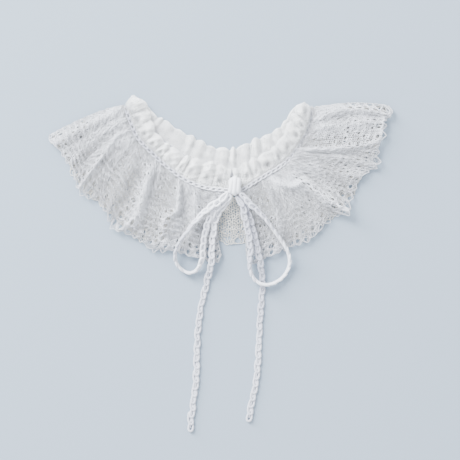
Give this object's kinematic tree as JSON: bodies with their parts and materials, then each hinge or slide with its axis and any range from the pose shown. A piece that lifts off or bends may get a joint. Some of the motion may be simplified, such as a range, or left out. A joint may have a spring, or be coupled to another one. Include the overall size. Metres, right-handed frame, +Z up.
{
  "type": "lace collar",
  "caption": "Knitted lace collar with a gathered flounce and neck frill, laid flat and drawn up on a chain drawstring tied in a bow with long tails.",
  "frame": {"origin": "centre of the base of the collar's bounding box, without the bow loops and tails, on the surface the collar lies on", "axes": "+X from the collar's left side to its right side as it is seen from above, +Y from the tails to the neck opening, +Z up from the surface"},
  "size_m": [0.3092, 0.3048, 0.017],
  "materials": {
    "lace": "matt white knitted cotton",
    "chain": "matt white crochet cotton"
  },
  "bodies": {
    "root": {"flounce_back": "lace", "flounce_front_left": "lace", "flounce_front_right": "lace", "frill_back": "lace", "frill_front_left": "lace", "frill_front_right": "lace", "drawstring_back": "chain", "drawstring_left": "chain", "drawstring_right": "chain", "bow_knot": "chain", "bow_loop_left": "chain", "bow_loop_right": "chain", "tail_left": "chain", "tail_right": "chain"}
  },
  "joints": []
}
